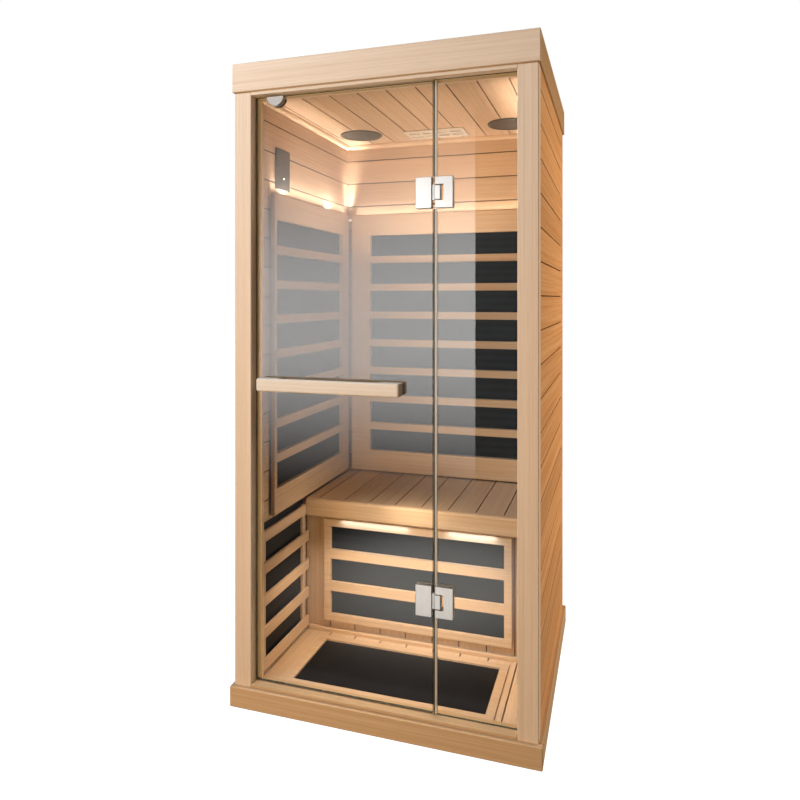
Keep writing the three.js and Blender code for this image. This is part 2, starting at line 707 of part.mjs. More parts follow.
// Handle bar in plan: it stands on two feet, with finger room between it and the glass.
function handleBar(seat, tip) {
  const out = Math.sign(tip - seat);
  const scoop = seat + out * handleScoop;
  const shape = new THREE.Shape();
  shape.moveTo(handleLeft, seat);
  shape.lineTo(handleLeft, tip - out * handleCorner);
  shape.quadraticCurveTo(handleLeft, tip, handleLeft + handleCorner, tip);
  shape.lineTo(handleRight - handleCorner, tip);
  shape.quadraticCurveTo(handleRight, tip, handleRight, tip - out * handleCorner);
  shape.lineTo(handleRight, seat);
  shape.lineTo(handleRight - handleFoot, seat);
  shape.lineTo(handleRight - handleFoot - handleScoopSlope, scoop);
  shape.lineTo(handleLeft + handleFoot + handleScoopSlope, scoop);
  shape.lineTo(handleLeft + handleFoot, seat);
  const geometry = new THREE.ExtrudeGeometry(shape, {
    depth: handleBarHeight - 2 * handleEase,
    bevelThickness: handleEase,
    bevelSize: handleEase,
    bevelOffset: -handleEase,
    bevelSegments: 2,
    curveSegments: 3,
  });
  geometry.translate(0, 0, handleHeight - handleBarHeight / 2 + handleEase);
  return toSolid(geometry);
}

function buildHandle() {
  const outerSeat = glassFront - fit;
  const innerSeat = glassBack + fit;
  const outerTip = outerSeat - handleOuterDepth;
  const innerTip = innerSeat + handleInnerDepth;
  const boltTip = outerTip + boltSkin;
  const headFrom = innerTip - boltHeadDepth;
  const bore = (x) => rod('y', [boltTip - fit, innerTip + past], boltRadius + fit, [handleHeight, x]);
  const counterboreY = [headFrom - fit, innerTip + past];
  const counterbore = (x) => rod('y', counterboreY, boltHeadRadius + fit, [handleHeight, x]);
  add('handle_outer_bar', cut(handleBar(outerSeat, outerTip), ...handleBolts.map(bore)), paleWood);
  add('handle_inner_bar', cut(handleBar(innerSeat, innerTip),
    ...handleBolts.map(bore), ...handleBolts.map(counterbore)), paleWood);
  for (const [i, [hand]] of hands.entries()) {
    const at = [handleHeight, handleBolts[i]];
    const shank = rod('y', [boltTip, innerTip - past], boltRadius, at);
    const head = rod('y', [headFrom, innerTip], boltHeadRadius, at);
    add(`handle_bolt_${hand}`, join(shank, head), satinSteel);
  }
}

function halfDisc([from, to]) {
  const shape = new THREE.Shape();
  shape.moveTo(catchZ, catchX + catchRadius);
  shape.absarc(catchZ, catchX, catchRadius, Math.PI / 2, 1.5 * Math.PI);
  return prism('y', shape, [from, to]);
}

function buildCatch() {
  const frontFace = [glassFront - fit - catchFrontThickness, glassFront - fit];
  const rearFace = [glassBack + fit, glassBack + fit + catchRearThickness];
  const pinY = [frontFace[1] - past, rearFace[0] + past];
  const pin = rod('y', pinY, catchPinRadius, [catchZ - catchPinDrop, catchX]);
  add('door_catch_plate', join(halfDisc(frontFace), halfDisc(rearFace), pin), satinSteel);
  const magnetY = [rearFace[1] + fit, rearFace[1] + fit + magnetDepth];
  const above = block([catchX - catchRadius - past, catchX + catchRadius + past],
    [magnetY[0] - past, magnetY[1] + past], [stopUnder - fit, catchZ + past]);
  add('door_catch_magnet', cut(halfDisc(magnetY), above), darkPlastic);
}

function buildControls() {
  const z1 = ceilingUnder - controlTopDrop;
  const z0 = z1 - controlHeight;
  const y0 = frameBack + controlFromFrame;
  const y1 = y0 + controlWidth;
  const plate = new THREE.Shape();
  plate.moveTo(y0, z0);
  plate.lineTo(y1, z0);
  plate.lineTo(y1, z1 - controlCorner);
  plate.absarc(y1 - controlCorner, z1 - controlCorner, controlCorner, 0, Math.PI / 2);
  plate.lineTo(y0, z1);
  const face = -liningSide + controlThickness;
  const centre = [(y0 + y1) / 2, z0 + buttonFromBottom];
  const bore = rod('x', [-liningSide - past, face + past], buttonRadius + fit, centre);
  add('control_panel', cut(prism('x', plate, [-liningSide, face]), bore), darkMetal);
  const buttonBack = -liningSide + buttonTravel + fit;
  add('control_button', rod('x', [buttonBack, face + buttonProud], buttonRadius, centre), satinSteel);
}

buildPlinth();
buildFloor();
buildFrontFrame();
buildWalls();
buildCeiling();
buildSpeakers();
buildVent();
buildCornice();
buildPowerUnit();
buildBench();
buildWallHeaters();
buildCalfHeaters();
buildBenchHeater();
buildGlass();
buildHinges();
buildHandle();
buildCatch();
buildControls();

export default cabin;
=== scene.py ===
import math

import bmesh
import bpy
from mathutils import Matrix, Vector


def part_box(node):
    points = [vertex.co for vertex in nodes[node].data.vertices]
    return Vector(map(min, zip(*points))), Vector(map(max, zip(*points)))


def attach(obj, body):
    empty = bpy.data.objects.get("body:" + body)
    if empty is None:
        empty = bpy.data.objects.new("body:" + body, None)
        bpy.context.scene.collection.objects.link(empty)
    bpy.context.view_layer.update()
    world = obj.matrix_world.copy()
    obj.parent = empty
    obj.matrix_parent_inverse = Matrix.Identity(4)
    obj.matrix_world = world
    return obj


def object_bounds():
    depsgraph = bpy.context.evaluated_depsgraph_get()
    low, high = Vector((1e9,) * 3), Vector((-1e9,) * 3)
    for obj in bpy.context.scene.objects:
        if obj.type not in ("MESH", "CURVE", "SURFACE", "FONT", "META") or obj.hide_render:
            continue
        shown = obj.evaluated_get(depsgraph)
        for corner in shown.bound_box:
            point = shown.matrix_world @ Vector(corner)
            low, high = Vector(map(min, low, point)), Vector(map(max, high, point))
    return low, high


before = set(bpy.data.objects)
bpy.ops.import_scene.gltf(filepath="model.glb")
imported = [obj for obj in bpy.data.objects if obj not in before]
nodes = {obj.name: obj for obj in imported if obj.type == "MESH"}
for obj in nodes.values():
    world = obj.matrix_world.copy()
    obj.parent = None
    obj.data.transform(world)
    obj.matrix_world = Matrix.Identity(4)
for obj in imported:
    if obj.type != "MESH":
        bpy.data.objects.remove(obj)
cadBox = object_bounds()
mm = 0.001
axisIndex = {"x": 0, "y": 1, "z": 2}
print("frame loaded:", len(nodes), "pieces")


def toLinear(hexColour):
    parts = [int(hexColour[i:i + 2], 16) / 255 for i in (1, 3, 5)]
    return tuple(c / 12.92 if c <= 0.04045 else ((c + 0.055) / 1.055) ** 2.4 for c in parts) + (1.0,)


def addNode(tree, kind, settings=None, links=None):
    node = tree.nodes.new(kind)
    for key, value in (settings or {}).items():
        if key == "stops":
            ramp = node.color_ramp
            while len(ramp.elements) < len(value):
                ramp.elements.new(0.5)
            for element, (place, colour) in zip(ramp.elements, value):
                element.position = place
                element.color = toLinear(colour)
        elif isinstance(key, str) and hasattr(node, key):
            setattr(node, key, value)
        else:
            node.inputs[key].default_value = value
    for key, source in (links or {}).items():
        tree.links.new(source, node.inputs[key])
    return node


def newMaterial(name):
    material = bpy.data.materials.new(name)
    material.use_nodes = True
    material.node_tree.nodes.clear()
    return material, material.node_tree


def finishMaterial(tree, shader):
    addNode(tree, "ShaderNodeOutputMaterial", links={"Surface": shader.outputs[0]})


def between(pair):
    return {"To Min": pair[0], "To Max": pair[1]}


def alongGrain(axis, width, length):
    # pattern scale that is fine across the grain and long along it
    scale = [1 / width] * 3
    scale[axisIndex[axis]] = 1 / length
    return tuple(scale)


timberGrain = {
    "ringWidth": 7 * mm,       # growth rings cut along the board, spacing across the grain
    "ringLength": 900 * mm,    # how far one streak runs along the board
    "fibreWidth": 1.6 * mm,    # real fibres are finer; drawn coarse enough to show
    "fibreLength": 70 * mm,
    "fibreSpan": (0.3, 0.7),   # part of the fibre noise that is used
    "fibreTone": (0.93, 1.03),
    "boardTone": (0.9, 1.07),  # how much one board differs from the next
    "boardShift": 5.0,         # metres in the pattern from one board to the next
    "ringStops": (0.28, 0.5, 0.72),
    "roughness": (0.6, 0.42),
    "sheen": 0.2,
    "relief": 0.4 * mm,
    "jointSlope": 0.949,       # how far the faces of a V joint, 4 mm wide and 6 mm deep, turn along the wall
    "jointSlack": 0.03,
    "jointPaintedShade": 0.48,        # painted shade: the faces of a V joint are darkened to stand for the shadow in the groove
}


def makeTimber(name, palette, grain, boards, seed):
    # Planed hemlock, unvarnished: close straight grain, a dull silk sheen, boards of slightly different tone
    material, tree = newMaterial(name)
    place = addNode(tree, "ShaderNodeTexCoord").outputs["Object"]
    if boards:
        axis, pitch, start = boards
        parts = addNode(tree, "ShaderNodeSeparateXYZ", links={0: place})
        offset = addNode(tree, "ShaderNodeMath", {"operation": "SUBTRACT", 1: start * mm},
                         {0: parts.outputs[axisIndex[axis]]})
        share = addNode(tree, "ShaderNodeMath", {"operation": "DIVIDE", 1: pitch * mm}, {0: offset.outputs[0]})
        whole = addNode(tree, "ShaderNodeMath", {"operation": "FLOOR"}, {0: share.outputs[0]})
        which = addNode(tree, "ShaderNodeMath", {"operation": "ADD", 1: seed}, {0: whole.outputs[0]})
        board = addNode(tree, "ShaderNodeTexWhiteNoise", {"noise_dimensions": "1D"}, {"W": which.outputs[0]})
    else:
        board = addNode(tree, "ShaderNodeTexWhiteNoise", {"noise_dimensions": "1D", "W": seed})
    shifted = addNode(tree, "ShaderNodeVectorMath",
                      {"operation": "MULTIPLY_ADD", 1: (timberGrain["boardShift"],) * 3},
                      {0: board.outputs["Color"], 2: place})
    ringPlace = addNode(tree, "ShaderNodeVectorMath",
                        {"operation": "MULTIPLY",
                         1: alongGrain(grain, timberGrain["ringWidth"], timberGrain["ringLength"])},
                        {0: shifted.outputs[0]})
    fibrePlace = addNode(tree, "ShaderNodeVectorMath",
                         {"operation": "MULTIPLY",
                          1: alongGrain(grain, timberGrain["fibreWidth"], timberGrain["fibreLength"])},
                         {0: shifted.outputs[0]})
    rings = addNode(tree, "ShaderNodeTexNoise",
                    {"Scale": 1.0, "Detail": 3.0, "Roughness": 0.55, "Distortion": 0.3},
                    {"Vector": ringPlace.outputs[0]})
    fibre = addNode(tree, "ShaderNodeTexNoise", {"Scale": 1.0, "Detail": 3.0, "Roughness": 0.6},
                    {"Vector": fibrePlace.outputs[0]})
    figure = addNode(tree, "ShaderNodeValToRGB", {"stops": list(zip(timberGrain["ringStops"], palette))},
                     {0: rings.outputs[0]})
    fibreSpan = {"From Min": timberGrain["fibreSpan"][0], "From Max": timberGrain["fibreSpan"][1]}
    streak = addNode(tree, "ShaderNodeMapRange", {**fibreSpan, **between(timberGrain["fibreTone"])},
                     {"Value": fibre.outputs[0]})
    tone = addNode(tree, "ShaderNodeMapRange", between(timberGrain["boardTone"]), {"Value": board.outputs["Value"]})
    level = addNode(tree, "ShaderNodeMath", {"operation": "MULTIPLY"}, {0: streak.outputs[0], 1: tone.outputs[0]})
    if boards:
        # painted shade: faces tilted like those of a V joint get a darker colour, for the shadow in the grooves
        normal = addNode(tree, "ShaderNodeNewGeometry").outputs["True Normal"]
        facing = addNode(tree, "ShaderNodeSeparateXYZ", links={0: normal}).outputs[axisIndex[axis]]
        tilt = addNode(tree, "ShaderNodeMath", {"operation": "ABSOLUTE"}, {0: facing})
        joint = addNode(tree, "ShaderNodeMath",
                        {"operation": "COMPARE", 1: timberGrain["jointSlope"], 2: timberGrain["jointSlack"]},
                        {0: tilt.outputs[0]})
        shade = addNode(tree, "ShaderNodeMapRange", between((1.0, timberGrain["jointPaintedShade"])),
                        {"Value": joint.outputs[0]})
        level = addNode(tree, "ShaderNodeMath", {"operation": "MULTIPLY"},
                        {0: level.outputs[0], 1: shade.outputs[0]})
    colour = addNode(tree, "ShaderNodeHueSaturation",
                     links={"Color": figure.outputs[0], "Value": level.outputs[0]})
    dull = addNode(tree, "ShaderNodeMapRange", {**fibreSpan, **between(timberGrain["roughness"])},
                   {"Value": fibre.outputs[0]})
    bump = addNode(tree, "ShaderNodeBump", {"Strength": 0.25, "Distance": timberGrain["relief"]},
                   {"Height": fibre.outputs[0]})
    shader = addNode(tree, "ShaderNodeBsdfPrincipled", {"IOR": 1.5, "Specular IOR Level": timberGrain["sheen"]},
                     {"Base Color": colour.outputs[0], "Roughness": dull.outputs[0], "Normal": bump.outputs[0]})
    finishMaterial(tree, shader)
    return material


# Palettes run from the late wood of a ring to the pale early wood
frontPalette = ("#CAB298", "#D0BBA3", "#D6C3AE")
plinthPalette = ("#B6966F", "#BFA07B", "#C8AA87")
outerPalette = ("#BE8449", "#CF9A63", "#DBAA78")
# painted shade: a darker tan for the cornice's left and right boards, which stand in shadow
shadedCornicePalette = ("#A58054", "#B08D62", "#BA986E")
innerPalette = ("#C6A586", "#CDAF92", "#D4B89D")
handlePalette = ("#CABDAB", "#D1C6B7", "#D8CEC1")
# painted shade: a dark copy of the timber for the inner handle bar, which stands in shadow behind the glass
shadedBarPalette = ("#7C6449", "#886F54", "#937B60")
paletteWords = {frontPalette: "front", plinthPalette: "plinth", outerPalette: "outer", innerPalette: "inner",
                handlePalette: "handle", shadedBarPalette: "shadedBar", shadedCornicePalette: "shadedCornice"}

# Boards: the axis they are laid along, their pitch and the first joint, both in mm
boardPitch = 93
wallBoards = ("z", boardPitch, 129)
ceilingBoards = ("x", boardPitch, -385)
floorBoards = ("x", boardPitch, -397)
benchBoards = ("x", boardPitch, -346.7)
skirtingBoards = ("x", boardPitch, -406.7)
timberPieces = {
    "cornice_front": (frontPalette, "x", None),
    "cornice_back": (outerPalette, "x", None),
    "cornice_left": (shadedCornicePalette, "y", None),
    "cornice_right": (shadedCornicePalette, "y", None),
    "front_stile_left": (frontPalette, "z", None),
    "front_stile_right": (frontPalette, "z", None),
    "front_top_rail": (frontPalette, "x", None),
    "front_sill": (plinthPalette, "x", None),
    "plinth_front": (plinthPalette, "x", None),
    "plinth_back": (plinthPalette, "x", None),
    "plinth_left": (plinthPalette, "y", None),
    "plinth_right": (plinthPalette, "y", None),
    "left_wall_cladding": (outerPalette, "y", wallBoards),
    "right_wall_cladding": (outerPalette, "y", wallBoards),
    "back_wall_cladding": (outerPalette, "x", wallBoards),
    "roof_cover": (outerPalette, "x", None),
    "left_wall_panel": (innerPalette, "y", wallBoards),
    "right_wall_panel": (innerPalette, "y", wallBoards),
    "back_wall_panel": (innerPalette, "x", wallBoards),
    "ceiling_panel": (innerPalette, "y", ceilingBoards),
    "floor_panel": (innerPalette, "y", floorBoards),
    "floor_heater_frame": (innerPalette, "x", None),
    "bench_seat": (innerPalette, "y", benchBoards),
    "bench_nose": (innerPalette, "x", None),
    "bench_skirting": (innerPalette, "z", skirtingBoards),
    "back_heater_guard": (innerPalette, "x", None),
    "left_heater_guard": (innerPalette, "y", None),
    "right_heater_guard": (innerPalette, "y", None),
    "bench_heater_guard": (innerPalette, "x", None),
    "left_calf_guard": (innerPalette, "y", None),
    "right_calf_guard": (innerPalette, "y", None),
    "handle_outer_bar": (handlePalette, "x", None),
    "handle_inner_bar": (shadedBarPalette, "x", None),
    "ceiling_vent": (handlePalette, "x", None),
}
seedStep = 3.7    # keeps the figure of two pieces apart
timberMade = {}
for count, (piece, (palette, grain, boards)) in enumerate(sorted(timberPieces.items())):
    timberMade[piece] = makeTimber(f"planedHemlock.{paletteWords[palette]}.{piece}", palette, grain, boards,
                                   count * seedStep)
print("timber:", len(timberMade), "pieces")


heatingFilm = {
    "band": 14 * mm,
    "wave": 0.159,             # about one wave for every two band widths
    "bandShare": 0.45,
    "speckle": 2.5 * mm,
    "dark": "#0A0D12", "pale": "#171C24",
    "roughness": (0.4, 0.52),
    "sheen": 0.22,
    "relief": 0.05 * mm,
}


def makeHeatingFilm():
    # Carbon heating film under a satin laminate: near black, faint bands of printed carbon, a soft low sheen
    material, tree = newMaterial("carbonFilmLaminate")
    place = addNode(tree, "ShaderNodeTexCoord").outputs["Object"]
    bandPlace = addNode(tree, "ShaderNodeVectorMath", {"operation": "SCALE", "Scale": 1 / heatingFilm["band"]},
                        {0: place})
    bands = addNode(tree, "ShaderNodeTexWave",
                    {"wave_type": "BANDS", "bands_direction": "Z", "Scale": heatingFilm["wave"],
                     "Distortion": 0.6, "Detail": 1.0},
                    {"Vector": bandPlace.outputs[0]})
    speckle = addNode(tree, "ShaderNodeTexNoise", {"Scale": 1 / heatingFilm["speckle"], "Detail": 2.0},
                      {"Vector": place})
    both = addNode(tree, "ShaderNodeMath", {"operation": "MULTIPLY_ADD", 1: heatingFilm["bandShare"]},
                   {0: bands.outputs["Fac"], 2: speckle.outputs[0]})
    colour = addNode(tree, "ShaderNodeValToRGB",
                     {"stops": [(0.35, heatingFilm["dark"]), (1.0, heatingFilm["pale"])]}, {0: both.outputs[0]})
    dull = addNode(tree, "ShaderNodeMapRange", between(heatingFilm["roughness"]), {"Value": speckle.outputs[0]})
    bump = addNode(tree, "ShaderNodeBump", {"Strength": 0.03, "Distance": heatingFilm["relief"]},
                   {"Height": speckle.outputs[0]})
    shader = addNode(tree, "ShaderNodeBsdfPrincipled", {"IOR": 1.5, "Specular IOR Level": heatingFilm["sheen"]},
                     {"Base Color": colour.outputs[0], "Roughness": dull.outputs[0], "Normal": bump.outputs[0]})
    finishMaterial(tree, shader)
    return material


clearGlass = {
    "tint": "#FBFDFC", "gloss": "#FFFFFF",
    "mirror": 0.034,           # share of light that a pane mirrors seen head on
    "smudge": 90 * mm, "smudgeSpan": (0.35, 0.75),
    "roughness": (0.004, 0.02),
    "edge": "#4A5148", "edgeTint": "#B4BDB2", "edgeSee": 0.35, "edgeRoughness": (0.15, 0.35),
}


def makeGlass():
    # Toughened float glass: clear faces that mirror the studio, a trace of wiping marks, dull grey-green cut edges
    material, tree = newMaterial("toughenedFloatGlass")
    coords = addNode(tree, "ShaderNodeTexCoord")
    smudge = addNode(tree, "ShaderNodeTexNoise", {"Scale": 1 / clearGlass["smudge"], "Detail": 3.0},
                     {"Vector": coords.outputs["Object"]})
    dull = addNode(tree, "ShaderNodeMapRange",
                   {"From Min": clearGlass["smudgeSpan"][0], "From Max": clearGlass["smudgeSpan"][1],
                    **between(clearGlass["roughness"])}, {"Value": smudge.outputs[0]})
    gloss = addNode(tree, "ShaderNodeBsdfGlossy", {"Color": toLinear(clearGlass["gloss"])},
                    {"Roughness": dull.outputs[0]})
    through = addNode(tree, "ShaderNodeBsdfTransparent", {"Color": toLinear(clearGlass["tint"])})
    # Schlick's curve in place of a Fresnel node, which turns the back faces black
    slant = addNode(tree, "ShaderNodeLayerWeight", {"Blend": 0.5})
    steep = addNode(tree, "ShaderNodeMath", {"operation": "POWER", 1: 5.0}, {0: slant.outputs["Facing"]})
    mirror = addNode(tree, "ShaderNodeMath",
                     {"operation": "MULTIPLY_ADD", 1: 1 - clearGlass["mirror"], 2: clearGlass["mirror"]},
                     {0: steep.outputs[0]})
    pane = addNode(tree, "ShaderNodeMixShader",
                   links={0: mirror.outputs[0], 1: through.outputs[0], 2: gloss.outputs[0]})
    cutDull = addNode(tree, "ShaderNodeMapRange", between(clearGlass["edgeRoughness"]), {"Value": smudge.outputs[0]})
    cutBody = addNode(tree, "ShaderNodeBsdfPrincipled", {"Base Color": toLinear(clearGlass["edge"]), "IOR": 1.5},
                      {"Roughness": cutDull.outputs[0]})
    cutThrough = addNode(tree, "ShaderNodeBsdfTransparent", {"Color": toLinear(clearGlass["edgeTint"])})
    cut = addNode(tree, "ShaderNodeMixShader", {0: clearGlass["edgeSee"]},
                  {1: cutBody.outputs[0], 2: cutThrough.outputs[0]})
    facing = addNode(tree, "ShaderNodeSeparateXYZ", links={0: coords.outputs["Normal"]})
    flat = addNode(tree, "ShaderNodeMath", {"operation": "ABSOLUTE"}, {0: facing.outputs[1]})
    face = addNode(tree, "ShaderNodeMath", {"operation": "GREATER_THAN", 1: 0.5}, {0: flat.outputs[0]})
    shader = addNode(tree, "ShaderNodeMixShader",
                     links={0: face.outputs[0], 1: cut.outputs[0], 2: pane.outputs[0]})
    finishMaterial(tree, shader)
    return material


clearVinyl = {
    "bulb": "#57544A", "lip": "#E2DED3", "bulbWidth": 4 * mm, "blend": 1 * mm,
    "tint": "#F2F1EC", "see": 0.5,
    "line": 1.5 * mm, "lineLength": 80 * mm, "roughness": (0.22, 0.34), "relief": 0.1 * mm,
}


def makeClearVinyl():
    # Extruded clear vinyl: half see-through, dark along its thick bulb, with a painted highlight along its thin lip,
    # drawn lines
    material, tree = newMaterial("extrudedClearVinyl")
    place = addNode(tree, "ShaderNodeTexCoord").outputs["Object"]
    across = addNode(tree, "ShaderNodeSeparateXYZ", links={0: place}).outputs[0]
    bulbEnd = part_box("fixed_glass")[0].x + clearVinyl["bulbWidth"]
    lip = addNode(tree, "ShaderNodeMapRange", {"From Min": bulbEnd - clearVinyl["blend"], "From Max": bulbEnd},
                  {0: across})
    # painted highlight: the thin lip is coloured pale, the thick bulb keeps the vinyl's dark tone
    bulbAndLipHighlight = addNode(tree, "ShaderNodeValToRGB",
                   {"stops": [(0.0, clearVinyl["bulb"]), (1.0, clearVinyl["lip"])]}, {0: lip.outputs[0]})
    linePlace = addNode(tree, "ShaderNodeVectorMath",
                        {"operation": "MULTIPLY",
                         1: alongGrain("z", clearVinyl["line"], clearVinyl["lineLength"])}, {0: place})
    lines = addNode(tree, "ShaderNodeTexNoise", {"Scale": 1.0, "Detail": 2.0}, {"Vector": linePlace.outputs[0]})
    dull = addNode(tree, "ShaderNodeMapRange", between(clearVinyl["roughness"]), {"Value": lines.outputs[0]})
    bump = addNode(tree, "ShaderNodeBump", {"Strength": 0.1, "Distance": clearVinyl["relief"]},
                   {"Height": lines.outputs[0]})
    body = addNode(tree, "ShaderNodeBsdfPrincipled", {"IOR": 1.53},
                   {"Base Color": bulbAndLipHighlight.outputs[0], "Roughness": dull.outputs[0], "Normal": bump.outputs[0]})
    through = addNode(tree, "ShaderNodeBsdfTransparent", {"Color": toLinear(clearVinyl["tint"])})
    shader = addNode(tree, "ShaderNodeMixShader", {0: clearVinyl["see"]}, {1: body.outputs[0], 2: through.outputs[0]})
    finishMaterial(tree, shader)
    return material


satinSteel = {"dark": "#C9C7C3", "pale": "#E4E2DE", "line": 0.6 * mm, "lineLength": 60 * mm,
              "roughness": (0.34, 0.46), "relief": 0.1 * mm}


def makeSatinSteel(name, grain):
    # Stainless steel, brushed and satin: bright, with fine lines that stretch the highlights across them
    material, tree = newMaterial(name)
    place = addNode(tree, "ShaderNodeTexCoord").outputs["Object"]
    linePlace = addNode(tree, "ShaderNodeVectorMath",
                        {"operation": "MULTIPLY",
                         1: alongGrain(grain, satinSteel["line"], satinSteel["lineLength"])}, {0: place})
    lines = addNode(tree, "ShaderNodeTexNoise", {"Scale": 1.0, "Detail": 2.0}, {"Vector": linePlace.outputs[0]})
    colour = addNode(tree, "ShaderNodeValToRGB",
                     {"stops": [(0.3, satinSteel["dark"]), (0.7, satinSteel["pale"])]}, {0: lines.outputs[0]})
    dull = addNode(tree, "ShaderNodeMapRange", between(satinSteel["roughness"]), {"Value": lines.outputs[0]})
    bump = addNode(tree, "ShaderNodeBump", {"Strength": 0.08, "Distance": satinSteel["relief"]},
                   {"Height": lines.outputs[0]})
    shader = addNode(tree, "ShaderNodeBsdfPrincipled", {"Metallic": 1.0},
                     {"Base Color": colour.outputs[0], "Roughness": dull.outputs[0], "Normal": bump.outputs[0]})
    finishMaterial(tree, shader)
    return material


controlPaint = {"grit": 1.5 * mm, "dark": "#565350", "pale": "#6B6763", "roughness": (0.35, 0.5)}
catchPlastic = {"grit": 1.2 * mm, "dark": "#24211E", "pale": "#35302B", "roughness": (0.45, 0.6)}
sealRubber = {"grit": 2 * mm, "dark": "#5E4932", "pale": "#74593C", "roughness": (0.55, 0.7)}
mouldedRelief = 0.2 * mm


def makeMoulded(name, look):
    # Fine grained surface: paint or moulded plastic with a light texture that breaks up its sheen
    material, tree = newMaterial(name)
    place = addNode(tree, "ShaderNodeTexCoord").outputs["Object"]
    grit = addNode(tree, "ShaderNodeTexNoise", {"Scale": 1 / look["grit"], "Detail": 3.0}, {"Vector": place})
    colour = addNode(tree, "ShaderNodeValToRGB", {"stops": [(0.3, look["dark"]), (0.7, look["pale"])]},
                     {0: grit.outputs[0]})
    dull = addNode(tree, "ShaderNodeMapRange", between(look["roughness"]), {"Value": grit.outputs[0]})
    bump = addNode(tree, "ShaderNodeBump", {"Strength": 0.2, "Distance": mouldedRelief}, {"Height": grit.outputs[0]})
    shader = addNode(tree, "ShaderNodeBsdfPrincipled", {"IOR": 1.5},
                     {"Base Color": colour.outputs[0], "Roughness": dull.outputs[0], "Normal": bump.outputs[0]})
    finishMaterial(tree, shader)
    return material


speakerGrille = {
    "hole": 5 * mm, "holeSpan": (0.25, 0.4),
    "dark": "#23201D", "pale": "#6A645B", "roughness": (0.7, 0.48), "relief": 0.8 * mm,
    "centre": (286 * mm, 210 * mm), "rim": 69 * mm, "rimTone": "#5C574F",
}


def makeGrille():
    # Perforated steel in a plain rim, painted grey: real holes are 2 mm, drawn at 5 mm so that they show
    material, tree = newMaterial("perforatedSteelGrille")
    place = addNode(tree, "ShaderNodeTexCoord").outputs["Object"]
    holes = addNode(tree, "ShaderNodeTexVoronoi", {"Scale": 1 / speakerGrille["hole"], "Randomness": 0.0},
                    {"Vector": place})
    edge = addNode(tree, "ShaderNodeMapRange",
                   {"From Min": speakerGrille["holeSpan"][0], "From Max": speakerGrille["holeSpan"][1]},
                   {"Value": holes.outputs["Distance"]})
    mesh = addNode(tree, "ShaderNodeValToRGB",
                   {"stops": [(0.0, speakerGrille["dark"]), (1.0, speakerGrille["pale"])]}, {0: edge.outputs[0]})
    # both speakers share one centre once x is made positive
    parts = addNode(tree, "ShaderNodeSeparateXYZ", links={0: place})
    mirrored = addNode(tree, "ShaderNodeMath", {"operation": "ABSOLUTE"}, {0: parts.outputs[0]})
    flat = addNode(tree, "ShaderNodeCombineXYZ", links={0: mirrored.outputs[0], 1: parts.outputs[1]})
    radius = addNode(tree, "ShaderNodeVectorMath", {"operation": "DISTANCE", 1: (*speakerGrille["centre"], 0.0)},
                     {0: flat.outputs[0]})
    onRim = addNode(tree, "ShaderNodeMath", {"operation": "GREATER_THAN", 1: speakerGrille["rim"]},
                    {0: radius.outputs["Value"]})
    colour = addNode(tree, "ShaderNodeMix", {"data_type": "RGBA", 7: toLinear(speakerGrille["rimTone"])},
                     {0: onRim.outputs[0], 6: mesh.outputs[0]})
    bump = addNode(tree, "ShaderNodeBump", {"Strength": 0.6, "Distance": speakerGrille["relief"]},
                   {"Height": edge.outputs[0]})
    dull = addNode(tree, "ShaderNodeMapRange", between(speakerGrille["roughness"]), {"Value": edge.outputs[0]})
    shader = addNode(tree, "ShaderNodeBsdfPrincipled", {"IOR": 1.5},
                     {"Base Color": colour.outputs[2], "Roughness": dull.outputs[0], "Normal": bump.outputs[0]})
    finishMaterial(tree, shader)
    return material


ledDiffuser = {"body": "#FFF1DC", "glow": "#FFE6C6", "strength": (0.9, 0.63), "chip": 16 * mm, "chipReach": 0.8,
               "grit": 1 * mm, "roughness": (0.52, 0.68), "relief": 0.1 * mm}


def makeLedDiffuser():
    # Frosted silicone over a row of warm diodes: an even glow with a faint beat at each diode
    material, tree = newMaterial("frostedLedSilicone")
    place = addNode(tree, "ShaderNodeTexCoord").outputs["Object"]
    chips = addNode(tree, "ShaderNodeTexVoronoi", {"Scale": 1 / ledDiffuser["chip"], "Randomness": 0.0},
                    {"Vector": place})
    beat = addNode(tree, "ShaderNodeMapRange",
                   {"From Max": ledDiffuser["chipReach"], **between(ledDiffuser["strength"])},
                   {"Value": chips.outputs["Distance"]})
    grit = addNode(tree, "ShaderNodeTexNoise", {"Scale": 1 / ledDiffuser["grit"], "Detail": 2.0}, {"Vector": place})
    dull = addNode(tree, "ShaderNodeMapRange", between(ledDiffuser["roughness"]), {"Value": grit.outputs[0]})
    bump = addNode(tree, "ShaderNodeBump", {"Strength": 0.1, "Distance": ledDiffuser["relief"]},
                   {"Height": grit.outputs[0]})
    shader = addNode(tree, "ShaderNodeBsdfPrincipled",
                     {"Base Color": toLinear(ledDiffuser["body"]), "Emission Color": toLinear(ledDiffuser["glow"])},
                     {"Emission Strength": beat.outputs[0], "Roughness": dull.outputs[0],
                      "Normal": bump.outputs[0]})
    finishMaterial(tree, shader)
    return material


buttonCap = {"dark": "#2C2B29", "pale": "#3D3B38", "grit": 1.2 * mm, "roughness": (0.38, 0.52), "relief": 0.1 * mm,
             "centre": (-403 * mm, -202 * mm, 1635 * mm), "dot": 4 * mm, "glow": "#FFF6EA", "strength": 9.0}


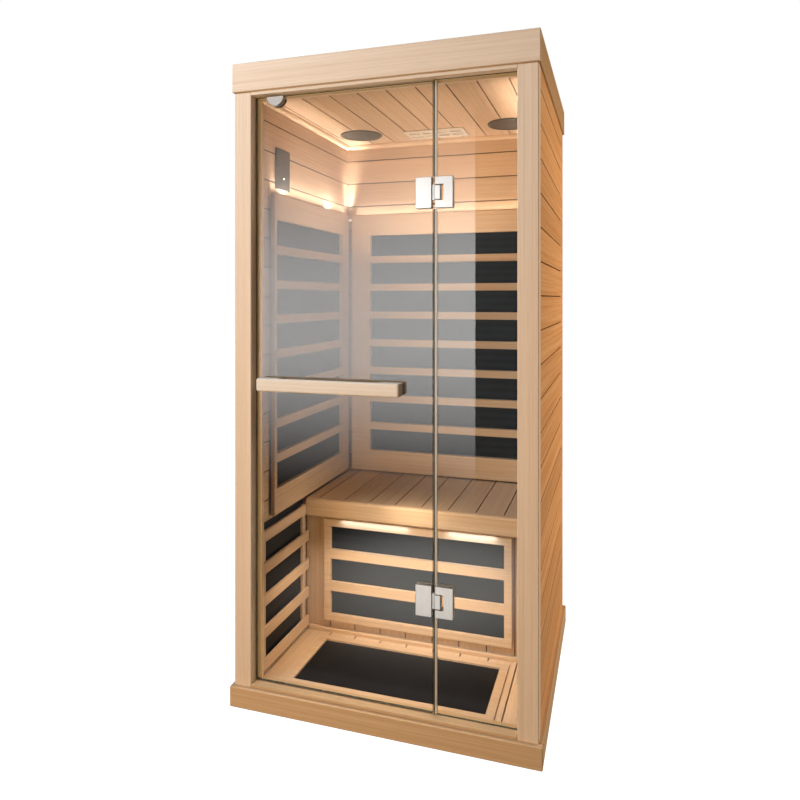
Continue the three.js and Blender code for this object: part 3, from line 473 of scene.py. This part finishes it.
def makeButtonCap():
    # Dark moulded ABS cap: fine grit with a small lit window in its middle
    material, tree = newMaterial("litButtonAbs")
    place = addNode(tree, "ShaderNodeTexCoord").outputs["Object"]
    grit = addNode(tree, "ShaderNodeTexNoise", {"Scale": 1 / buttonCap["grit"]}, {"Vector": place})
    colour = addNode(tree, "ShaderNodeValToRGB", {"stops": [(0.3, buttonCap["dark"]), (0.7, buttonCap["pale"])]},
                     {0: grit.outputs[0]})
    reach = addNode(tree, "ShaderNodeVectorMath", {"operation": "DISTANCE", 1: buttonCap["centre"]}, {0: place})
    lit = addNode(tree, "ShaderNodeMapRange",
                  {"From Max": buttonCap["dot"], **between((buttonCap["strength"], 0.0))},
                  {"Value": reach.outputs["Value"]})
    dull = addNode(tree, "ShaderNodeMapRange", between(buttonCap["roughness"]), {"Value": grit.outputs[0]})
    bump = addNode(tree, "ShaderNodeBump", {"Strength": 0.2, "Distance": buttonCap["relief"]},
                   {"Height": grit.outputs[0]})
    shader = addNode(tree, "ShaderNodeBsdfPrincipled", {"Emission Color": toLinear(buttonCap["glow"])},
                     {"Base Color": colour.outputs[0], "Roughness": dull.outputs[0], "Normal": bump.outputs[0],
                      "Emission Strength": lit.outputs[0]})
    finishMaterial(tree, shader)
    return material


heatingMaterial = makeHeatingFilm()
glassMaterial = makeGlass()
steelUpright = makeSatinSteel("satinStainless.upright", "z")
steelTurned = makeSatinSteel("satinStainless.turned", "y")
paintedSteel = makeMoulded("satinPaintedSteel", controlPaint)
darkAbs = makeMoulded("mouldedAbs.dark", catchPlastic)
vinylMaterial = makeClearVinyl()
rubberSeal = makeMoulded("extrudedRubberSeal", sealRubber)
grilleMaterial = makeGrille()
ledMaterial = makeLedDiffuser()
buttonMaterial = makeButtonCap()
timberTrimY = makeTimber("planedHemlock.inner.trimY", innerPalette, "y", None, 141.0)
timberTrimX = makeTimber("planedHemlock.inner.trimX", innerPalette, "x", None, 149.0)

otherPieces = {
    heatingMaterial: ("floor_heater_panel", "back_heater_panel", "left_heater_panel", "right_heater_panel",
                      "left_calf_panel", "right_calf_panel", "bench_heater_panel"),
    glassMaterial: ("door_glass", "fixed_glass"),
    steelUpright: ("upper_hinge_door_leaf", "upper_hinge_panel_leaf", "lower_hinge_door_leaf",
                   "lower_hinge_panel_leaf", "upper_hinge_pin", "lower_hinge_pin", "door_catch_plate"),
    steelTurned: ("handle_bolt_left", "handle_bolt_right"),
    paintedSteel: ("control_panel", "power_unit"),
    darkAbs: ("door_catch_magnet",),
    grilleMaterial: ("left_speaker", "right_speaker"),
    ledMaterial: ("wall_led_strip", "bench_led_strip"),
    buttonMaterial: ("control_button",),
}


def dress(piece, material):
    piece.data.materials.clear()
    piece.data.materials.append(material)


for name, material in timberMade.items():
    dress(nodes[name], material)
for material, names in otherPieces.items():
    for name in names:
        dress(nodes[name], material)
undressed = set(nodes) - set(timberMade) - {name for names in otherPieces.values() for name in names}
print("materials set, left over:", sorted(undressed))


def meshPiece(name, bm, material, body):
    bmesh.ops.recalc_face_normals(bm, faces=bm.faces)
    mesh = bpy.data.meshes.new(name)
    bm.to_mesh(mesh)
    bm.free()
    piece = bpy.data.objects.new(name, mesh)
    bpy.context.scene.collection.objects.link(piece)
    dress(piece, material)
    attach(piece, body)


def joinRings(bm, rings):
    # skin over rings of equal count, closed at both ends
    count = len(rings[0])
    for lower, upper in zip(rings, rings[1:]):
        for i in range(count):
            j = (i + 1) % count
            bm.faces.new((lower[i], lower[j], upper[j], upper[i]))
    bm.faces.new(rings[0])
    bm.faces.new(rings[-1])


def sweep(outline, axis, start, end):
    # outline lies in the plane across the axis, in the order yz, xz or xy
    bm = bmesh.new()
    rings = []
    for along in (start, end):
        ring = []
        for a, b in outline:
            point = {"x": (along, a, b), "y": (a, along, b), "z": (a, b, along)}[axis]
            ring.append(bm.verts.new(point))
        rings.append(ring)
    joinRings(bm, rings)
    return bm


paneSeal = {"lap": 8.5 * mm, "wall": 1.0 * mm, "gap": 0.2 * mm, "endGap": 2 * mm}


def makePaneSeal():
    # clip-on strip along the fixed pane's free edge, broken at the hinges
    low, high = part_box("fixed_glass")
    gap, wall, free = paneSeal["gap"], paneSeal["wall"], paneSeal["endGap"]
    inner = (low.x - gap, low.y - gap, high.y + gap)
    outer = (inner[0] - wall, inner[1] - wall, inner[2] + wall)
    end = low.x + paneSeal["lap"]
    outline = [(end, outer[1]), (outer[0], outer[1]), (outer[0], outer[2]), (end, outer[2]),
               (end, inner[2]), (inner[0], inner[2]), (inner[0], inner[1]), (end, inner[1])]
    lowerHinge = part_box("lower_hinge_panel_leaf")
    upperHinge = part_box("upper_hinge_panel_leaf")
    runs = {"bottom": (low.z + free, lowerHinge[0].z - free),
            "middle": (lowerHinge[1].z + free, upperHinge[0].z - free),
            "top": (upperHinge[1].z + free, high.z - free)}
    for name, (start, stop) in runs.items():
        meshPiece(f"pane_seal_{name}", sweep(outline, "z", start, stop), vinylMaterial, "cabin")


crownStrip = {"size": 16 * mm, "gap": 0.3 * mm, "steps": 5}


def coveOutline(cornerA, cornerB, signA, signB):
    # quarter round that fills an inside corner
    size, steps = crownStrip["size"], crownStrip["steps"]
    points = [(cornerA, cornerB), (cornerA + signA * size, cornerB)]
    for i in range(1, steps):
        turn = math.pi / 2 * i / steps
        points.append((cornerA + signA * size * math.cos(turn), cornerB + signB * size * math.sin(turn)))
    points.append((cornerA, cornerB + signB * size))
    return points


def makeCrown():
    gap, size = crownStrip["gap"], crownStrip["size"]
    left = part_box("left_wall_panel")[1].x
    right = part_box("right_wall_panel")[0].x
    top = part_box("ceiling_panel")[0].z - gap
    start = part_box("left_wall_panel")[0].y + gap
    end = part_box("back_wall_panel")[0].y - gap
    meshPiece("crown_left", sweep(coveOutline(left + gap, top, 1, -1), "y", start, end),
              timberTrimY, "cabin")
    meshPiece("crown_right", sweep(coveOutline(right - gap, top, -1, -1), "y", start, end),
              timberTrimY, "cabin")
    inset = size + 2 * gap
    meshPiece("crown_back", sweep(coveOutline(end, top, -1, -1), "x", left + inset, right - inset),
              timberTrimX, "cabin")


footBatten = {"height": 14 * mm, "depth": 12 * mm, "ease": 3 * mm, "gap": 0.3 * mm}


def makeFootBatten():
    # eased strip on the floor along the foot of the bench front
    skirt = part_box("bench_skirting")[0].y - footBatten["gap"]
    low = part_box("floor_panel")[1].z + footBatten["gap"]
    high = low + footBatten["height"]
    near = skirt - footBatten["depth"]
    ease = footBatten["ease"]
    outline = [(skirt, low), (skirt, high), (near + ease, high), (near, high - ease), (near, low)]
    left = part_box("left_calf_guard")[1].x
    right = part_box("right_calf_guard")[0].x
    meshPiece("foot_batten", sweep(outline, "x", left, right), timberTrimX, "cabin")


hingeScrew = {"radius": 5 * mm, "height": 1.6 * mm, "socket": 2.2 * mm, "depth": 1.2 * mm,
              "inset": 14 * mm, "rowOffset": 28 * mm, "gap": 0.05 * mm, "steps": 18}


def makeScrew(name, centre, body):
    # button head with a hex socket, on the room side of a hinge plate
    radius, height, socket = hingeScrew["radius"], hingeScrew["height"], hingeScrew["socket"]
    # reach and height of each ring, from the plate over the crown into the socket
    profile = ((radius, 0), (radius * 0.92, height * 0.7), (radius * 0.7, height),
               (socket, height), (socket, height - hingeScrew["depth"]))
    bm = bmesh.new()
    rings = []
    for reach, out in profile:
        ring = []
        for i in range(hingeScrew["steps"]):
            turn = 2 * math.pi * i / hingeScrew["steps"]
            far = reach
            if reach == socket:
                sector = (turn % (math.pi / 3)) - math.pi / 6
                far = reach * math.cos(math.pi / 6) / math.cos(sector)
            ring.append(bm.verts.new((centre[0] + far * math.cos(turn), centre[1] + out,
                                      centre[2] + far * math.sin(turn))))
        rings.append(ring)
    joinRings(bm, rings)
    meshPiece(name, bm, steelTurned, body)


def makeHingeScrews():
    for place in ("upper", "lower"):
        for leaf, body in (("door", "door"), ("panel", "cabin")):
            low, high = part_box(f"{place}_hinge_{leaf}_leaf")
            x = low.x + hingeScrew["inset"] if leaf == "door" else high.x - hingeScrew["inset"]
            y = high.y + hingeScrew["gap"]
            middle = (low.z + high.z) / 2
            for row, side in (("top", 1), ("bottom", -1)):
                z = middle + side * hingeScrew["rowOffset"]
                makeScrew(f"{place}_{leaf}_screw_{row}", (x, y, z), body)


doorSeal = {"lip": 2.2 * mm, "slope": 1 * mm, "gap": 0.3 * mm, "endGap": 2 * mm}


def makeDoorSeal():
    # bottom sweep: a thin extruded lip under the door
    low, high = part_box("door_glass")
    top = low.z - doorSeal["gap"]
    bottom = top - doorSeal["lip"]
    shoulder = bottom + doorSeal["slope"]
    outline = [(low.y, top), (high.y, top), (high.y, shoulder), ((low.y + high.y) / 2, bottom), (low.y, shoulder)]
    start, end = low.x + doorSeal["endGap"], high.x - doorSeal["endGap"]
    meshPiece("door_bottom_seal", sweep(outline, "x", start, end), rubberSeal, "door")


makePaneSeal()
makeCrown()
makeFootBatten()
makeHingeScrews()
makeDoorSeal()
print("trim made")


def stagePiece(name, mesh, material, hiddenFrom):
    piece = bpy.data.objects.new(name, mesh)
    bpy.context.scene.collection.objects.link(piece)
    dress(piece, material)
    for way in hiddenFrom:
        setattr(piece, f"visible_{way}", False)


def flatMesh(name, corners):
    mesh = bpy.data.meshes.new(name)
    mesh.from_pydata(corners, [], [(0, 1, 2, 3)])
    return mesh


cardHiddenFrom = ("camera", "diffuse", "transmission", "shadow", "volume_scatter")
studio = {
    "white": "#FFFFFF", "worldStrength": 0.09,
    "floorSize": 40.0, "floorDrop": 0.5 * mm, "floorColour": ("#9C9B99", "#A5A4A2"), "floorGlow": 1.0,
    "domeRadius": 17.0, "domeLevel": (1.0, 1.02),
}


def makeWorld():
    world = bpy.data.worlds.new("studioWhite")
    bpy.context.scene.world = world
    world.use_nodes = True
    tree = world.node_tree
    tree.nodes.clear()
    sky = addNode(tree, "ShaderNodeBackground",
                  {"Color": toLinear(studio["white"]), "Strength": studio["worldStrength"]})
    addNode(tree, "ShaderNodeOutputWorld", links={"Surface": sky.outputs[0]})


def makeFloor():
    # Painted studio floor: matt, near white, with the faintest mottle
    material, tree = newMaterial("mattStudioPaint")
    place = addNode(tree, "ShaderNodeTexCoord").outputs["Object"]
    mottle = addNode(tree, "ShaderNodeTexNoise", {"Scale": 1.5, "Detail": 2.0}, {"Vector": place})
    dark, pale = studio["floorColour"]
    colour = addNode(tree, "ShaderNodeValToRGB", {"stops": [(0.3, dark), (0.7, pale)]}, {0: mottle.outputs[0]})
    shader = addNode(tree, "ShaderNodeBsdfPrincipled",
                     {"Roughness": 0.9, "Emission Color": toLinear(studio["white"]),
                      "Emission Strength": studio["floorGlow"]},
                     {"Base Color": colour.outputs[0]})
    finishMaterial(tree, shader)
    half, z = studio["floorSize"] / 2, -studio["floorDrop"]
    mesh = flatMesh("studio_floor", [(-half, -half, z), (half, -half, z), (half, half, z), (-half, half, z)])
    stagePiece("studio_floor", mesh, material, ("diffuse", "glossy"))


def makeDome():
    # White studio cove all round, seen by the camera only
    material, tree = newMaterial("studioCovePaint")
    place = addNode(tree, "ShaderNodeTexCoord").outputs["Object"]
    mottle = addNode(tree, "ShaderNodeTexNoise", {"Scale": 0.2}, {"Vector": place})
    level = addNode(tree, "ShaderNodeMapRange", between(studio["domeLevel"]), {"Value": mottle.outputs[0]})
    shader = addNode(tree, "ShaderNodeEmission", {"Color": toLinear(studio["white"])},
                     {"Strength": level.outputs[0]})
    finishMaterial(tree, shader)
    bm = bmesh.new()
    bmesh.ops.create_uvsphere(bm, u_segments=32, v_segments=16, radius=studio["domeRadius"])
    mesh = bpy.data.meshes.new("studio_cove")
    bm.to_mesh(mesh)
    bm.free()
    stagePiece("studio_cove", mesh, material, ("diffuse", "glossy", "transmission", "shadow", "volume_scatter"))


glassCard = {"y": -2.6, "x": (-3.0, -0.164), "z": (0.02, 2.6), "riseFrom": -0.1, "fullFrom": 1.0, "fullTo": 1.25,
             "strength": 4.9, "tone": "#FFFCFB"}


def makeGlassCard():
    # Soft white panel beside the camera that shows only as the haze in the glass
    material, tree = newMaterial("softboxCloth")
    place = addNode(tree, "ShaderNodeTexCoord").outputs["Object"]
    height = addNode(tree, "ShaderNodeSeparateXYZ", links={0: place}).outputs[2]
    low, high = glassCard["z"]
    rise = addNode(tree, "ShaderNodeMapRange",
                   {"interpolation_type": "SMOOTHSTEP", "From Min": glassCard["riseFrom"],
                    "From Max": glassCard["fullFrom"]}, {"Value": height})
    fall = addNode(tree, "ShaderNodeMapRange",
                   {"interpolation_type": "SMOOTHSTEP", "From Min": glassCard["fullTo"], "From Max": high,
                    **between((1.0, 0.0))}, {"Value": height})
    level = addNode(tree, "ShaderNodeMath", {"operation": "MULTIPLY"}, {0: rise.outputs[0], 1: fall.outputs[0]})
    power = addNode(tree, "ShaderNodeMath", {"operation": "MULTIPLY", 1: glassCard["strength"]},
                    {0: level.outputs[0]})
    shader = addNode(tree, "ShaderNodeEmission", {"Color": toLinear(glassCard["tone"])},
                     {"Strength": power.outputs[0]})
    finishMaterial(tree, shader)
    left, right = glassCard["x"]
    y = glassCard["y"]
    mesh = flatMesh("softbox_card", [(left, y, low), (right, y, low), (right, y, high), (left, y, high)])
    stagePiece("softbox_card", mesh, material, cardHiddenFrom)


floorCard = {"centre": (-0.08, -1.45, 0.004), "core": 0.2, "reach": 0.85, "plinthGap": 0.02,
             "strength": 1.7, "tone": "#FFF8F0"}


def makeFloorCard():
    # Bright patch of floor in front of the cabin that shows only as a reflection in the glass and the hinges
    material, tree = newMaterial("paleFloorPaper")
    place = addNode(tree, "ShaderNodeTexCoord").outputs["Object"]
    away = addNode(tree, "ShaderNodeVectorMath", {"operation": "DISTANCE", 1: floorCard["centre"]}, {0: place})
    level = addNode(tree, "ShaderNodeMapRange",
                    {"interpolation_type": "SMOOTHSTEP", "From Min": floorCard["core"],
                     "From Max": floorCard["reach"], **between((floorCard["strength"], 0.0))},
                    {"Value": away.outputs["Value"]})
    shader = addNode(tree, "ShaderNodeEmission", {"Color": toLinear(floorCard["tone"])},
                     {"Strength": level.outputs[0]})
    finishMaterial(tree, shader)
    x, y, z = floorCard["centre"]
    left, right = x - floorCard["reach"], x + floorCard["reach"]
    front = y - floorCard["reach"]
    back = min(y + floorCard["reach"], cadBox[0][1] - floorCard["plinthGap"])
    mesh = flatMesh("floor_card", [(left, front, z), (right, front, z), (right, back, z), (left, back, z)])
    stagePiece("floor_card", mesh, material, cardHiddenFrom)


lights = {
    # name: place, aim, size, power in watts, colour, spread in degrees
    "key_softbox": ((-1.6, -2.2, 3.0), (0.0, -0.4, 1.2), (1.3, 1.3), 99.0, "#DCECFF", 180),
    "front_fill": ((-0.7, -3.3, 0.5), (0.0, -0.4, 0.6), (1.6, 1.6), 68.0, "#FFCB80", 180),
    "right_warm": ((3.0, 1.5, 1.5), (0.45, 0.1, 1.0), (1.6, 2.2), 118.0, "#FFE9D2", 180),
    "wall_wash_left": ((-0.404, 0.03, 1.58), (-0.4, 0.03, 1.9), (0.62, 0.01), 0.55, "#FFF1E6", 60),
    "wall_wash_right": ((0.404, 0.03, 1.58), (0.4, 0.03, 1.9), (0.62, 0.01), 0.8, "#FFF1E6", 60),
    "wall_wash_back": ((0.0, 0.37, 1.58), (0.0, 0.366, 1.9), (0.74, 0.01), 0.3, "#FFF1E6", 90),
    "left_spot_front": ((-0.4, -0.2, 1.582), (-0.408, -0.2, 1.7), (0.03, 0.01), 0.035, "#FFF8F2", 150),
    "left_spot_back": ((-0.4, 0.17, 1.582), (-0.408, 0.17, 1.7), (0.03, 0.01), 0.1, "#FFF8F2", 150),
    "corner_left": ((-0.398, 0.36, 1.585), (-0.392, 0.354, 1.9), (0.016, 0.016), 0.16, "#FFF4EA", 44),
    "corner_right": ((0.398, 0.36, 1.585), (0.392, 0.354, 1.9), (0.016, 0.016), 0.16, "#FFF4EA", 44),
    "bench_glow_left": ((-0.14, -0.056, 0.466), (-0.14, -0.044, 0.42), (0.24, 0.004), 0.1, "#E6EFFF", 150),
    "bench_glow_right": ((0.2, -0.056, 0.466), (0.2, -0.044, 0.42), (0.16, 0.004), 0.075, "#E6EFFF", 150),
    "floor_glow": ((0.0, -0.19, 0.44), (0.0, -0.2, 0.0), (0.6, 0.12), 2.1, "#FFE2BE", 145),
    "calf_glow_left": ((0.1, -0.22, 0.62), (-0.41, -0.05, 0.45), (0.2, 0.2), 0.5, "#FFE8CC", 110),
    "calf_glow_right": ((-0.1, -0.22, 0.62), (0.41, -0.05, 0.45), (0.2, 0.2), 0.5, "#FFE8CC", 110),
    "ceiling_glow": ((0.0, -0.1, 1.84), (0.0, 0.05, 0.0), (0.3, 0.3), 0.2, "#FFEEDC", 180),
    "room_glow": ((0.0, 0.0, 1.4), (0.0, 0.02, 1.9), (0.5, 0.5), 2.4, "#FFEEDE", 180),
}


def makeLights():
    for name, (place, aim, size, power, colour, spread) in lights.items():
        light = bpy.data.lights.new(name, "AREA")
        light.shape = "RECTANGLE"
        light.size, light.size_y = size
        light.energy = power
        light.spread = math.radians(spread)
        light.color = toLinear(colour)[:3]
        lamp = bpy.data.objects.new(name, light)
        lamp.location = place
        lamp.rotation_euler = (Vector(aim) - Vector(place)).to_track_quat("-Z", "Y").to_euler()
        bpy.context.scene.collection.objects.link(lamp)
        lamp.visible_camera = False
        lamp.visible_glossy = False


# Focal length and horizon are in pixels of a square picture, as they were measured
photoCamera = {"place": (0.64853, -2.21817, 1.23885), "yaw": 0.310, "focal": 672.74, "horizon": 298.18, "image": 800,
               "sensor": 36.0, "farthest": 100.0}


def makeCamera():
    data = bpy.data.cameras.new("photo_camera")
    data.sensor_fit = "HORIZONTAL"
    data.sensor_width = photoCamera["sensor"]
    data.lens = photoCamera["focal"] * photoCamera["sensor"] / photoCamera["image"]
    data.shift_y = (photoCamera["horizon"] - photoCamera["image"] / 2) / photoCamera["image"]
    data.clip_end = photoCamera["farthest"]
    camera = bpy.data.objects.new("photo_camera", data)
    camera.location = photoCamera["place"]
    camera.rotation_euler = (math.pi / 2, 0, photoCamera["yaw"])
    bpy.context.scene.collection.objects.link(camera)
    bpy.context.scene.camera = camera


makeWorld()
makeFloor()
makeDome()
makeGlassCard()
makeFloorCard()
makeLights()
makeCamera()
bpy.context.scene.view_settings.view_transform = "Standard"
print("studio ready")
